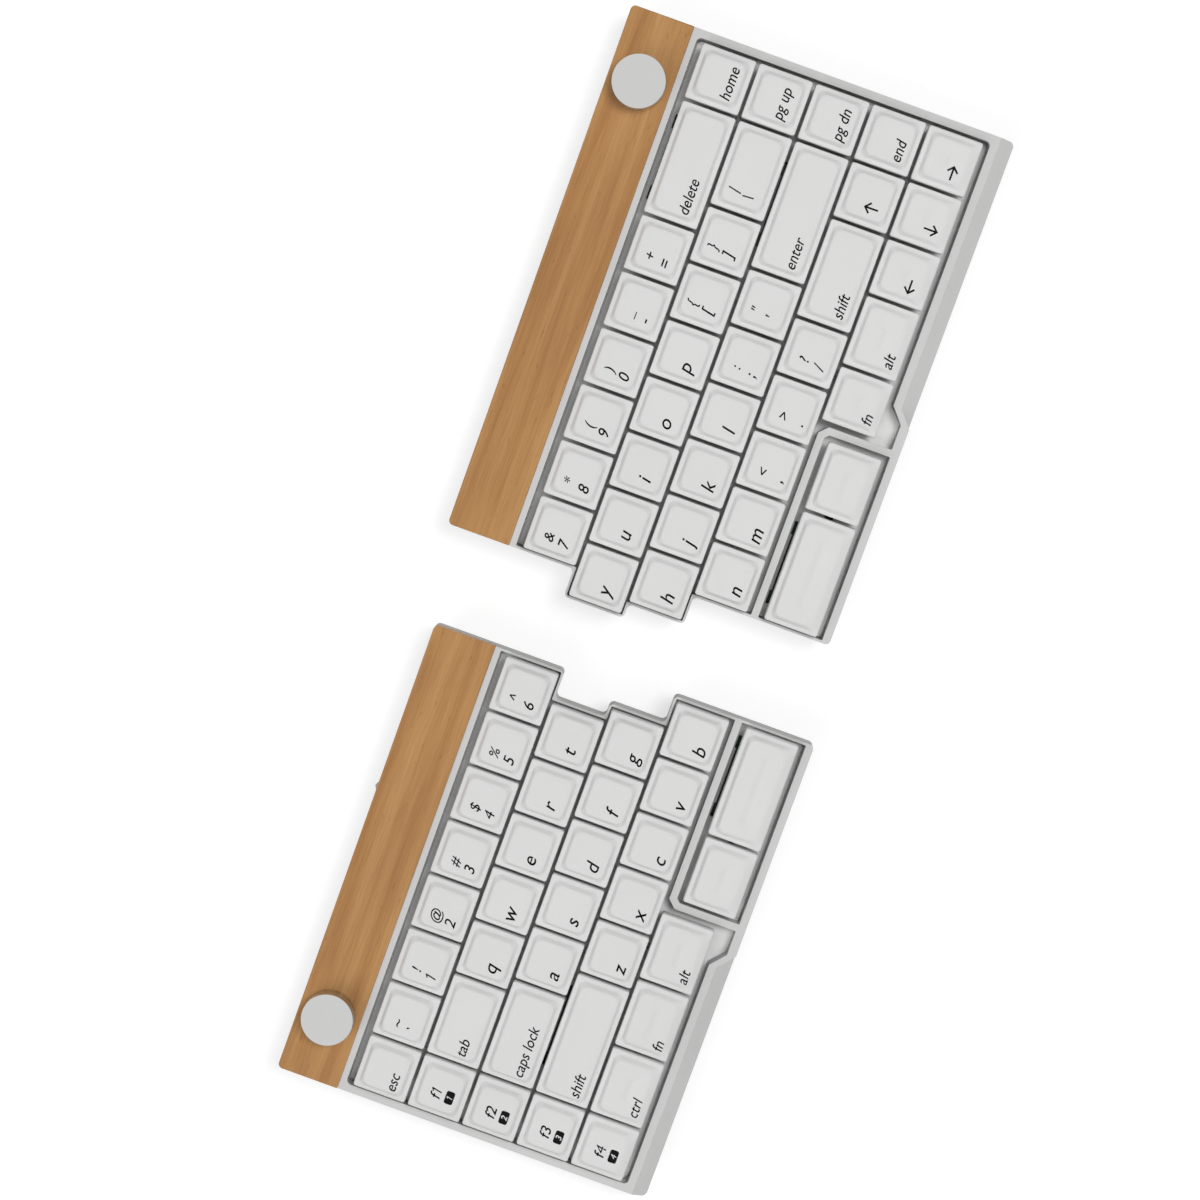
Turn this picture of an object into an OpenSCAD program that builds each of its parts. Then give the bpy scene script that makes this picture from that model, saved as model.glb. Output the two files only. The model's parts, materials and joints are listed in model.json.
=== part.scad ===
// Ergonomic split keyboard in two halves, each with a wood strip and a rotary knob at its back.
// Layout frame: x runs to the typist's right from the left edge of the first key column,
// y runs to the back from the back edge of the first key row, z runs up from the table.

/* [Layout] */
// Distance between neighbouring key centres
key_pitch = 19.05; // [18:0.05:20]
// Free gap that opens between the two halves, beyond the nested position
split_gap = 34; // [16:1:120]
// How far the right half stands behind the left half
split_shift = 7; // [0:0.5:8]

/* [Case] */
// Height of the case's upper edge above the table
frame_top = 18; // [17.5:0.1:18.4]
// Height of the seam between the bottom tray and the top frame
seam_z = 9.5; // [8.8:0.1:10.5]
// Thickness of the tray's floor
floor_t = 2; // [1.8:0.1:2.4]
// How far the tray's wall leans in at its foot
tray_setback = 3; // [2:0.1:3.2]
// Width of the frame's bar outside the outer key column
side_bar = 3.5; // [3:0.1:8]
// Width of the frame's rim along the inner, stepped edge
rim = 0.8; // [0.7:0.05:1.4]
// Distance from the first key row to the back wall's outer face
back_depth = 25; // [24:0.5:32]
// Distance from the fifth key row to the front wall's outer face
front_depth = 9.25; // [8.5:0.25:14]
// Radius of the outline's corners
corner_r = 1.6; // [0.8:0.1:2]
// Room between the key cells and the frame's opening at the outer column
side_room = 0.9; // [0.4:0.1:1.6]
// Room between the first key row and the frame's opening
back_room = 1.9; // [1:0.1:2.4]
// Room between the fifth key row and the frame's opening
front_room = 1.85; // [1:0.05:2.2]
// Width of the flat band in front of the opening
front_flat = 2.6; // [2:0.1:3]
// How far the sloped front band drops
slope_drop = 3.7; // [2:0.1:4.5]
// Thickness of the rib around the thumb keys
rib_t = 2.4; // [1.6:0.1:3]
// Chamfer at the rib's outer corner
rib_chamfer = 2.7; // [2:0.1:5]
// How far the opening runs forward beside the rib
jog_depth = 6.3; // [4:0.1:6.6]

/* [Wood strip] */
// Distance from the first key row to the strip's front edge
wood_front = 4; // [3.8:0.1:5]
// Thickness of the wood strip
wood_t = 4; // [3.9:0.1:5]
// How far the wood stands above the frame
wood_proud = 0.5; // [0:0.1:0.5]

/* [Keys] */
// Gap between neighbouring keycaps
cap_gap = 0.95; // [0.7:0.05:1.3]
// Height of a keycap's vertical skirt
skirt_h = 4; // [3.6:0.1:4.6]
// Rise of the gently sloped band above the skirt
band_rise = 0.7; // [0.4:0.1:1]
// Width of the gently sloped band
band_w = 1.4; // [1:0.1:2]
// Rise of the steep ring between the band and the top
ring_rise = 1.8; // [1.2:0.1:2.4]
// Width of the steep ring
ring_w = 1.5; // [1:0.1:2]
// Depth of the dish in a keycap's top
dish = 0.2; // [0.1:0.05:0.5]
// Thickness of a keycap's skirt
skirt_t = 1.3; // [1:0.1:1.5]
// How far a keycap's pocket narrows towards its ceiling
pocket_taper = 1.6; // [1.4:0.1:1.7]
// Cut across a keycap's corners
cap_corner = 0.6; // [0.3:0.1:1]
// Travel of a key
key_travel = 3.5; // [3:0.1:3.5]

/* [Switches] */
// Width of the square switch body below the plate
switch_w = 14; // [13.8:0.1:14.2]
// Width of the flange that rests on the plate
flange_w = 15.6; // [15:0.1:16]
// Thickness of the flange
flange_t = 1; // [0.8:0.1:1.2]
// Width of the housing above the flange
tower_w = 11.7; // [11:0.1:13]
// Height of the housing above the plate
tower_h = 6.6; // [6.4:0.1:6.8]
// Depth of the switch body below the plate's top
switch_depth = 5; // [4.6:0.1:5.4]
// Height of the cross post that carries the cap
post_h = 3.6; // [3.4:0.1:4]
// Length of each arm pair of the cross post
post_l = 4; // [3.8:0.05:4.2]
// Width of the cross post's arms
post_w = 1.2; // [1:0.05:1.3]
// Diameter of the boss under a cap
boss_d = 5.6; // [5.4:0.1:6]
// Distance of a stabiliser from the middle of a long key
stabiliser_x = 11.94; // [11.5:0.02:12.5]
// Distance from the middle of a long key to the back edge of its stabilisers' cut-outs in the plate
notch_back = 9.85; // [9.5:0.05:10]
// Distance from the middle of a long key to the back edge of the slit that joins those cut-outs
slit_back = 9.35; // [9.1:0.05:9.5]

/* [Boards] */
// Height of the plate's top above the table
plate_top = 12.6; // [12.4:0.1:12.8]
// Thickness of the switch plate
plate_t = 1.5; // [1.2:0.1:2]
// Width of the groove between the plate's raised field and the openings' edges
groove_w = 0.45; // [0.3:0.05:0.8]
// Thickness of the plate's lip at the bottom of that groove
lip_t = 0.3; // [0.2:0.1:0.6]
// Diameter of the hole in the plate between the two thumb keys
hole_d = 3; // [2:0.1:4]
// Thickness of the circuit board
board_t = 1.6; // [1.2:0.1:1.8]
// Length of the battery
battery_l = 58; // [30:1:60]
// Width of the battery
battery_w = 15; // [10:0.5:15.5]

/* [Knobs and ports] */
// Diameter of a knob
knob_d = 17.2; // [14:0.1:19]
// Height of a knob
knob_h = 6.6; // [5:0.1:9]
// Diameter of a knob's shaft
shaft_d = 4.5; // [4:0.1:5]
// Outer diameter of the encoder's bushing
bushing_d = 7; // [6.5:0.1:7.5]
// Width of the square encoder body
encoder_w = 12; // [10:0.5:12.5]
// Width of the charging port's shell
port_w = 9; // [8.8:0.1:9.4]
// Height of the charging port's shell
port_h = 3.2; // [3:0.1:3.4]
// Length of the charging port's shell
port_l = 7.4; // [6:0.1:8]
// Room between the battery and the mode switch
mode_gap = 4.5; // [3:0.5:12]
// Distance from the mode switch to the charging port
port_gap = 15.5; // [12:0.5:24]
// Travel of the mode switch to each side
mode_travel = 2; // [1:0.1:2.5]
// How far the mode switch's lever stands out of the back wall
lever_proud = 1.2; // [0.6:0.1:2]

/* [Feet and screws] */
// Diameter of a rubber foot
foot_d = 10; // [8:0.5:10]
// How far a foot stands below the tray
foot_h = 1.5; // [1:0.1:1.8]
// Depth of a foot's seat in the tray
foot_seat = 0.5; // [0.3:0.1:0.8]
// Diameter of a screw's shank
screw_d = 2; // [1.6:0.1:2.2]
// Diameter of a screw's head
head_d = 3.6; // [3.2:0.1:3.8]
// Height of a screw's head
head_h = 1.2; // [1:0.1:1.3]
// Diameter of the posts that the screws run through
pillar_d = 4.6; // [4.2:0.1:4.8]

/* [Hidden] */
$fn = 48;
// Steps in a rounded outline corner
corner_steps = 5;
// Small overlap that keeps cuts clean
cut = 0.5;
// Gap between a sliding or turning piece and its guide
running_gap = 0.05;
// Gap between a fixed piece and its seat
seat_gap = 0.25;
// Number of key columns from the left edge to the right edge
columns = 17;
// Where the inner edge of the first four key rows lies, in key pitches
inner_edge = [8, 7.5, 7.75, 8.25];
// Cell edges beside the rib: outer face towards the modifier keys, inner face towards the thumb keys
rib_outer_edge = [4.75, 11.75];
rib_inner_edge = [5, 11.5];
// Cell edge between the two thumb keys
thumb_join = [6.25, 10.25];
// Start and end of the opening's diagonal beside the rib, in key pitches from the rib's outer cell edge
jog_start = 0.38;
jog_end = 0.65;

LEFT = 0;
RIGHT = 1;
// Keys of the left half: node, then [x, y, width] of each cap in key pitches
left_keys = [
    ["left_escape_key", [[0, 0, 1]]],
    ["left_function_keys", [for (row = [1:4]) [0, row, 1]]],
    ["left_number_keys", [for (i = [0:6]) [1 + i, 0, 1]]],
    ["left_tab_key", [[1, 1, 1.5]]],
    ["left_top_row_keys", [for (i = [0:4]) [2.5 + i, 1, 1]]],
    ["left_caps_lock_key", [[1, 2, 1.75]]],
    ["left_home_row_keys", [for (i = [0:4]) [2.75 + i, 2, 1]]],
    ["left_shift_key", [[1, 3, 2.25]]],
    ["left_bottom_row_keys", [for (i = [0:4]) [3.25 + i, 3, 1]]],
    ["left_control_key", [[1, 4, 1.25]]],
    ["left_command_key", [[2.25, 4, 1.25]]],
    ["left_option_key", [[3.5, 4, 1.25]]],
    ["left_small_thumb_key", [[5, 4.25, 1.25]]],
    ["left_large_thumb_key", [[6.25, 4.25, 2]]]
];
// Keys of the right half, in the same form
right_keys = [
    ["right_number_keys", [for (i = [0:5]) [8 + i, 0, 1]]],
    ["right_delete_key", [[14, 0, 2]]],
    ["right_home_key", [[16, 0, 1]]],
    ["right_top_row_keys", [for (i = [0:6]) [7.5 + i, 1, 1]]],
    ["right_backslash_key", [[14.5, 1, 1.5]]],
    ["right_page_up_key", [[16, 1, 1]]],
    ["right_home_row_keys", [for (i = [0:5]) [7.75 + i, 2, 1]]],
    ["right_return_key", [[13.75, 2, 2.25]]],
    ["right_page_down_key", [[16, 2, 1]]],
    ["right_bottom_row_keys", [for (i = [0:4]) [8.25 + i, 3, 1]]],
    ["right_shift_key", [[13.25, 3, 1.75]]],
    ["right_up_key", [[15, 3, 1]]],
    ["right_end_key", [[16, 3, 1]]],
    ["right_large_thumb_key", [[8.25, 4.25, 2]]],
    ["right_small_thumb_key", [[10.25, 4.25, 1.25]]],
    ["right_command_key", [[11.75, 4, 1]]],
    ["right_option_key", [[12.75, 4, 1.25]]],
    ["right_arrow_left_key", [[14, 4, 1]]],
    ["right_arrow_down_key", [[15, 4, 1]]],
    ["right_arrow_right_key", [[16, 4, 1]]]
];
function key_table(half) = half == LEFT ? left_keys : right_keys;
function all_keys(half) = [for (row = key_table(half)) each row[1]];
// Keys this many pitches wide or wider carry stabilisers
long_key = 2;
// Caps from this row on run smoothly down to their front edge
front_row = 4;

// Heights, from the table up
tray_z = foot_h;
floor_z = tray_z + floor_t;
plate_z = plate_top - plate_t;
board_top = plate_top - switch_depth;
board_z = board_top - board_t;
tower_top = plate_top + tower_h;
cap_z = frame_top;
cap_top = cap_z + skirt_h + band_rise + ring_rise;
boss_z = tower_top + 2 * running_gap;
ceiling_z = tower_top + post_h + 2 * running_gap;
slider_h = 5.4;
// Room left under a slider that is pressed all the way
slider_room = 1.1;
slider_hole_z = tower_top - slider_h - key_travel - slider_room;
wood_z = frame_top + wood_proud - wood_t;
knob_gap = 0.6;
knob_z = frame_top + wood_proud + knob_gap;

// Inset of the tray's inner wall at the board, and of the ledge that the board rests on
function rake_at(z) = tray_setback * (seam_z - z) / (seam_z - tray_z);
tray_wall = 1.25;
ledge_wall = 1.55;
tray_inset = rake_at(board_z) + tray_wall;
ledge_inset = rake_at(floor_z) + ledge_wall;

// Plan sizes
back_y = back_depth;
front_y = -5 * key_pitch - front_depth;
board_inset = tray_inset + seat_gap;
plate_inset = rim + seat_gap;
knob_x = [key_pitch, (columns - 1) * key_pitch];
knob_y = (wood_front + back_y) / 2;
middle_x = (columns * key_pitch + split_gap) / 2;
middle_y = (back_y + split_shift + front_y) / 2;

// How far a frame screw reaches into the frame's shelf
screw_bite = 1;
// Screw places as [x, y]: four under the plate between key rows, two under the wood strip
function mirror_x(half, x) = half == LEFT ? x : columns * key_pitch - x;
plate_screw_x = [[1, 6.5], [16, 9.5]];
plate_screw_front_x = [[1, 4], [16, 12.5]];
function plate_screws(half) = concat(
    [for (x = plate_screw_x[half]) [x * key_pitch, -key_pitch]],
    [for (x = plate_screw_front_x[half]) [x * key_pitch, -4 * key_pitch]]);
frame_screw_outer = 4.5;
frame_screw_inner = 8;
function frame_screws(half) = [
    [mirror_x(half, frame_screw_outer), knob_y],
    [inner_edge[0] * key_pitch - inner_dir(half) * frame_screw_inner, knob_y]];
// Feet, set in from the outer column, the inner edge, the back wall and the front wall
back_foot_outer = 14;
back_foot_inner = 20;
back_foot_y = 10;
front_foot_side = 10;
front_foot_y = 12;
function feet_places(half) = [
    [mirror_x(half, back_foot_outer), back_y - back_foot_y],
    [inner_edge[0] * key_pitch - inner_dir(half) * back_foot_inner, back_y - back_foot_y],
    [mirror_x(half, front_foot_side), front_y + front_foot_y],
    [inner_edge[3] * key_pitch - inner_dir(half) * front_foot_side, front_y + front_foot_y]];

// Outline of a half, drawn in by an inset
function inner_dir(half) = half == LEFT ? 1 : -1;
function inner_x(half, row, inset) = inner_edge[row] * key_pitch + inner_dir(half) * (rim - inset);
function outer_x(half, inset) = mirror_x(half, inset - side_bar);
function widens(half, row) = inner_dir(half) * (inner_edge[row + 1] - inner_edge[row]) > 0;
function step_y(half, row, inset) =
    -(row + 1) * key_pitch + (widens(half, row) ? 1 : -1) * (rim - inset);
function steps(half, inset) = [for (row = [0:2]) each [
    [inner_x(half, row, inset), step_y(half, row, inset)],
    [inner_x(half, row + 1, inset), step_y(half, row, inset)]]];
function outline(half, inset, back) = rounded(concat(
    [[outer_x(half, inset), back], [inner_x(half, 0, inset), back]],
    steps(half, inset),
    [[inner_x(half, 3, inset), front_y + inset], [outer_x(half, inset), front_y + inset]]), corner_r);

// Fillets of one radius, or of a list of radii, on the corners of a path
function unit(v) = v / norm(v);
function fillet(a, p, b, r) = let (
    u = unit(a - p),
    v = unit(b - p),
    half_angle = acos(u * v) / 2,
    centre = p + unit(u + v) * r / sin(half_angle),
    from = p + u * r / tan(half_angle) - centre,
    to = p + v * r / tan(half_angle) - centre,
    start = atan2(from[1], from[0]),
    turn = (atan2(to[1], to[0]) - start + 540) % 360 - 180)
    [for (i = [0:corner_steps]) let (angle = start + turn * i / corner_steps)
        centre + r * [cos(angle), sin(angle)]];
function rounded(path, r) = let (n = len(path)) [for (i = [0:n - 1])
    each fillet(path[(i + n - 1) % n], path[i], path[(i + 1) % n], is_list(r) ? r[i] : r)];
function area(path) = let (n = len(path)) [for (i = [0:n - 1]) let (p = path[i], q = path[(i + 1) % n])
    p[0] * q[1] - q[0] * p[1]] * [for (i = [0:n - 1]) 0.5];
function turned(path) = area(path) > 0 ? path : [for (i = [len(path) - 1:-1:0]) path[i]];

// The frame's opening around the main keys, with its diagonal jog beside the thumb rib
rib_gap = (0.25 * key_pitch - rib_t) / 2;
rib_back_y = -4 * key_pitch - rib_gap;
opening_front_y = -5 * key_pitch - front_room;
opening_r = corner_r;
// Radius of the openings' corners away from the outer column
edge_r = 0.4;
function opening_radii(n) = [for (i = [0:n - 1]) i % (n - 1) == 0 ? opening_r : edge_r];
function outward(half) = -inner_dir(half);
function rib_outer_x(half) = rib_outer_edge[half] * key_pitch - outward(half) * rib_gap;
function rib_inner_x(half) = rib_inner_edge[half] * key_pitch + outward(half) * rib_gap;
function jog_x(half, share) = (rib_outer_edge[half] + outward(half) * share) * key_pitch;
function opening_outer_x(half) = mirror_x(half, -side_room);
function main_opening(half) = rounded(concat(
    [[opening_outer_x(half), back_room], [inner_x(half, 0, rim), back_room]],
    steps(half, rim),
    [[inner_x(half, 3, rim), rib_back_y],
     [rib_outer_x(half) - outward(half) * rib_chamfer, rib_back_y],
     [rib_outer_x(half), rib_back_y - rib_chamfer],
     [rib_outer_x(half), -5 * key_pitch - jog_depth],
     [jog_x(half, jog_start), -5 * key_pitch - jog_depth],
     [jog_x(half, jog_end), opening_front_y],
     [opening_outer_x(half), opening_front_y]]), opening_radii(15));
// The opening around the two thumb keys
thumb_back_y = -4.25 * key_pitch + rib_gap;
thumb_front_y = -5.25 * key_pitch - front_room;
thumb_chamfer = rib_chamfer - rib_t * (2 - sqrt(2));
function thumb_opening(half) = rounded([
    [inner_x(half, 3, rim), thumb_back_y],
    [rib_inner_x(half) - outward(half) * thumb_chamfer, thumb_back_y],
    [rib_inner_x(half), thumb_back_y - thumb_chamfer],
    [rib_inner_x(half), thumb_front_y],
    [inner_x(half, 3, rim), thumb_front_y]], edge_r);
// The plate's raised field stops short of the openings' edges, and its thin lip runs on under the frame
plate_lap = 0.9;
function field_outer_x(half) = mirror_x(half, groove_w - side_room);
function field_plan(half) = rounded(concat(
    [[field_outer_x(half), back_room - groove_w], [inner_x(half, 0, plate_inset), back_room - groove_w]],
    steps(half, plate_inset),
    [[inner_x(half, 3, plate_inset), thumb_front_y + groove_w],
     [jog_x(half, jog_start), thumb_front_y + groove_w],
     [jog_x(half, jog_end), opening_front_y + groove_w],
     [field_outer_x(half), opening_front_y + groove_w]]),
    [for (i = [0:11]) i == 9 || i == 10 ? edge_r : corner_r]);
function lip_plan(half) = outline(half, plate_inset, back_room + plate_lap);
// Plan of the sloped front band, which ends on a diagonal beside the thumb section
slope_y = opening_front_y - front_flat;
function slope_plan(half) = let (
    diagonal = (jog_end - jog_start) * key_pitch / (jog_depth - front_room),
    far_x = outer_x(half, 0) + outward(half) * cut,
    near_x = jog_x(half, jog_end))
    [[far_x, slope_y], [near_x, slope_y],
     [near_x - outward(half) * diagonal * (slope_y - front_y + cut), front_y - cut],
     [far_x, front_y - cut]];

// Places a half where it stands
module stand(half) {
    translate([(half == RIGHT ? split_gap : 0) - middle_x, (half == RIGHT ? split_shift : 0) - middle_y, 0])
        children();
}

// A plate of a given outline between two heights
module slab(path, low, high) {
    translate([0, 0, low])
        linear_extrude(high - low)
            polygon(path);
}

// An upright block centred on the axis
module block(x, y, low, high) {
    translate([-x / 2, -y / 2, low])
        cube([x, y, high - low]);
}

// An upright round bar on the axis
module bar(d, low, high) {
    translate([0, 0, low])
        cylinder(d = d, h = high - low);
}

// A solid between two outlines of equal point count
module skin(low_path, low, high_path, high) {
    n = len(low_path);
    bottom = turned(low_path);
    top = turned(high_path);
    polyhedron(
        points = concat([for (p = bottom) [p[0], p[1], low]], [for (p = top) [p[0], p[1], high]]),
        faces = concat(
            [[for (i = [0:n - 1]) i]],
            [[for (i = [n - 1:-1:0]) n + i]],
            [for (i = [0:n - 1]) let (j = (i + 1) % n) each [[i, n + i, n + j], [i, n + j, j]]]));
}

// The tray's leaning outer wall, between two heights
module raked_skin(half, low, high) {
    skin(outline(half, rake_at(low), back_y - rake_at(low)), low,
         outline(half, rake_at(high), back_y - rake_at(high)), high);
}

// The battery lies beside the encoder, against the back wall
encoder_gap = 3;
battery_wall_gap = 0.44;
battery_room = 0.6;
battery_x = knob_x[LEFT] + encoder_w / 2 + encoder_gap + battery_l / 2;
battery_y = back_y - tray_inset - battery_wall_gap - battery_w / 2;

// Slots in the back wall for the charging port and the mode switch
port_z = board_top;
lever_t = 1.8;
lever_w = 3;
mode_body_h = 3.4;
mode_body_l = 9;
mode_body_w = 3.5;
mode_x = battery_x + battery_l / 2 + mode_gap + mode_body_l / 2;
port_x = mode_x + port_gap;
mode_body_y = back_y - board_inset - mode_body_w - seat_gap;
lever_z = board_top + (mode_body_h - lever_t) / 2;
module wall_slots(half) {
    translate([mirror_x(half, port_x), back_y, 0])
        block(port_w + 2 * seat_gap, 2 * ledge_inset, port_z - seat_gap, port_z + port_h + seat_gap);
    if (half == LEFT)
        translate([mode_x, back_y, 0])
            block(lever_w + 2 * mode_travel + 4 * seat_gap, 2 * ledge_inset,
                  lever_z - seat_gap, lever_z + lever_t + seat_gap);
}

module bottom_tray(half) {
    color("gainsboro")
        stand(half)
            difference() {
                union() {
                    difference() {
                        intersection() {
                            slab(outline(half, -cut, back_y + cut), tray_z, seam_z);
                            raked_skin(half, tray_z - cut, seam_z + cut);
                        }
                        slab(outline(half, tray_inset, back_y - tray_inset), board_z, seam_z + cut);
                        slab(outline(half, ledge_inset, back_y - ledge_inset), floor_z, board_z + cut);
                        wall_slots(half);
                    }
                    for (p = plate_screws(half))
                        translate(p)
                            bar(pillar_d, floor_z - cut, plate_z);
                    for (p = frame_screws(half))
                        translate(p)
                            bar(pillar_d, floor_z - cut, seam_z);
                }
                for (p = concat(plate_screws(half), frame_screws(half)))
                    translate(p) {
                        bar(screw_d + 4 * running_gap, tray_z - cut, plate_z + cut);
                        bar(head_d + 2 * seat_gap, tray_z - cut, tray_z + head_h + 2 * running_gap);
                    }
                for (p = feet_places(half))
                    translate(p)
                        bar(foot_d + 4 * running_gap, tray_z - cut, tray_z + foot_seat);
            }
}

module top_frame(half) {
    color("silver")
        stand(half) {
            difference() {
                slab(outline(half, 0, back_y), seam_z, frame_top);
                slab(outline(half, rim, back_y - rim), seam_z - cut, plate_top);
                slab(main_opening(half), plate_top - cut, frame_top + cut);
                slab(thumb_opening(half), plate_top - cut, frame_top + cut);
                translate([columns * key_pitch / 2, wood_front + back_y, 0])
                    block(2 * columns * key_pitch, 2 * back_y, wood_z, frame_top + cut);
                translate([knob_x[half], knob_y, 0])
                    bar(bushing_d + 2 * seat_gap, plate_top - cut, frame_top);
                for (p = frame_screws(half))
                    translate(p)
                        bar(screw_d + 2 * running_gap, plate_top - cut, plate_top + screw_bite + seat_gap);
                wall_slots(half);
                front_slope(half);
            }
            difference() {
                for (p = frame_screws(half))
                    translate(p)
                        bar(pillar_d, seam_z, plate_top);
                for (p = frame_screws(half))
                    translate(p)
                        bar(screw_d + 2 * running_gap, seam_z - cut, plate_top);
            }
        }
}

// The wedge that is taken off the front band
module front_slope(half) {
    drop = slope_drop * (slope_y - front_y + cut) / (slope_y - front_y);
    intersection() {
        slab(slope_plan(half), frame_top - 2 * slope_drop, frame_top + cut);
        translate([-side_bar - cut, 0, 0])
            rotate([90, 0, 90])
                linear_extrude(columns * key_pitch + 2 * side_bar + 2 * cut)
                    polygon([[slope_y, frame_top], [front_y - cut, frame_top - drop],
                             [front_y - cut, frame_top + cut], [slope_y, frame_top + cut]]);
    }
}

wood_corner = 0.2;
module wood_strip(half) {
    color("peru")
        stand(half)
            difference() {
                slab(rounded([
                    [outer_x(half, 0), back_y], [inner_x(half, 0, 0), back_y],
                    [inner_x(half, 0, 0), wood_front + running_gap],
                    [outer_x(half, 0), wood_front + running_gap]],
                    [corner_r, corner_r, wood_corner, wood_corner]), wood_z, wood_z + wood_t);
                translate([knob_x[half], knob_y, 0])
                    bar(bushing_d + 2 * seat_gap, wood_z - cut, wood_z + wood_t + cut);
            }
}

function key_centre(key) = [(key[0] + key[2] / 2) * key_pitch, -(key[1] + 0.5) * key_pitch];
function stabiliser_places(key) = key[2] < long_key ? [] : [for (side = [-1, 1]) [side * stabiliser_x, 0]];
stabiliser_w = 6.6;
stabiliser_l = 12;
// The narrower back part of a stabiliser's cut-out, and the slit for the wire between two of them
notch_w = 4.6;
slit_w = 1.2;

module switch_plate(half) {
    color("lightgray")
        stand(half)
            difference() {
                union() {
                    slab(lip_plan(half), plate_z, plate_z + lip_t);
                    slab(field_plan(half), plate_z, plate_top);
                }
                translate([thumb_join[half] * key_pitch, -4.75 * key_pitch])
                    bar(hole_d, plate_z - cut, plate_top + cut);
                for (key = all_keys(half))
                    translate(key_centre(key)) {
                        block(switch_w + 2 * running_gap, switch_w + 2 * running_gap,
                              plate_z - cut, plate_top + cut);
                        for (p = stabiliser_places(key))
                            translate(p) {
                                block(stabiliser_w + 2 * running_gap, stabiliser_l + 2 * running_gap,
                                      plate_z - cut, plate_top + cut);
                                translate([0, notch_back / 2])
                                    block(notch_w, notch_back, plate_z - cut, plate_top + cut);
                            }
                        if (key[2] >= long_key)
                            translate([0, slit_back - slit_w / 2])
                                block(2 * stabiliser_x, slit_w, plate_z - cut, plate_top + cut);
                    }
                for (p = plate_screws(half))
                    translate(p)
                        bar(screw_d + 2 * running_gap, plate_z - cut, plate_top + cut);
            }
}

module circuit_board(half) {
    color("darkgreen")
        stand(half)
            difference() {
                slab(outline(half, board_inset, back_y - board_inset), board_z, board_top);
                for (p = concat(plate_screws(half), frame_screws(half)))
                    translate(p)
                        bar(pillar_d + 2 * seat_gap, board_z - cut, board_top + cut);
            }
}

slider_x = 7;
slider_y = 6;
stabiliser_slider_x = 5;
stabiliser_slider_y = 4.2;
slider_gap = 0.2;
slider_floor = 1;
// A stabiliser stays clear of its slider's foot and of the cap's boss when the key is pressed
stabiliser_z = slider_hole_z - slider_floor;
stabiliser_top = boss_z - key_travel - slider_gap;
module switch_housings(half) {
    color("dimgray")
        stand(half)
            for (key = all_keys(half))
                translate(key_centre(key)) {
                    difference() {
                        union() {
                            block(switch_w, switch_w, board_top, plate_top);
                            block(flange_w, flange_w, plate_top, plate_top + flange_t);
                            block(tower_w, tower_w, plate_top + flange_t, tower_top);
                        }
                        block(slider_x + 2 * slider_gap, slider_y + 2 * slider_gap,
                              slider_hole_z, tower_top + cut);
                    }
                    for (p = stabiliser_places(key))
                        translate(p)
                            difference() {
                                block(stabiliser_w, stabiliser_l, stabiliser_z, stabiliser_top);
                                block(stabiliser_slider_x + 2 * slider_gap,
                                      stabiliser_slider_y + 2 * slider_gap,
                                      slider_hole_z, stabiliser_top + cut);
                            }
                }
}

// One ring of a keycap: a rectangle with cut corners, with its own inset and height at the front
function cap_ring(w, d, inset, front_inset, corner, z, front_z) = let (
    x = w / 2 - inset,
    back = d / 2 - inset,
    front = front_inset - d / 2)
    [[x, front + corner, front_z], [x, back - corner, z], [x - corner, back, z], [corner - x, back, z],
     [-x, back - corner, z], [-x, front + corner, front_z], [corner - x, front, front_z],
     [x - corner, front, front_z]];

// Draft of a skirt, and the front of a cap whose top runs smoothly down to the front edge
skirt_inset = 0.15;
smooth_band = 0.4;
smooth_rise = 0.3;
smooth_drop = 0.8;
// A keycap shell: pocket, skirt, gently sloped band, steep ring and dished top
module cap_shell(w, smooth_front) {
    d = key_pitch - cap_gap;
    shoulder = cap_z + skirt_h;
    top_inset = band_w + ring_w;
    front_band = smooth_front ? smooth_band : band_w;
    front_rise = smooth_front ? smooth_rise : band_rise;
    front_top = smooth_front ? cap_top - smooth_drop : cap_top;
    rings = [
        cap_ring(w, d, skirt_t + pocket_taper, skirt_t + pocket_taper, cap_corner, ceiling_z, ceiling_z),
        cap_ring(w, d, skirt_t, skirt_t, cap_corner, cap_z, cap_z),
        cap_ring(w, d, 0, 0, cap_corner, cap_z, cap_z),
        cap_ring(w, d, skirt_inset, skirt_inset, cap_corner, shoulder, shoulder),
        cap_ring(w, d, band_w, front_band, 2 * cap_corner, shoulder + band_rise, shoulder + front_rise),
        cap_ring(w, d, top_inset, top_inset, 2 * cap_corner, cap_top, front_top)];
    n = 8;
    levels = len(rings);
    last = levels * n;
    polyhedron(
        points = concat([for (ring = rings) each ring],
            [[0, 0, ceiling_z], [0, 0, (cap_top + front_top) / 2 - dish]]),
        faces = concat(
            [for (i = [0:n - 1]) [last, i, (i + 1) % n]],
            [for (k = [0:levels - 2]) for (i = [0:n - 1]) let (j = (i + 1) % n, a = k * n, b = a + n)
                each [[a + i, b + i, b + j], [a + i, b + j, a + j]]],
            [for (i = [0:n - 1]) let (a = last - n) [a + i, last + 1, a + (i + 1) % n]]));
}

// A cross of two bars
module cross(l, w, low, high) {
    block(l, w, low, high);
    block(w, l, low, high);
}

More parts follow.
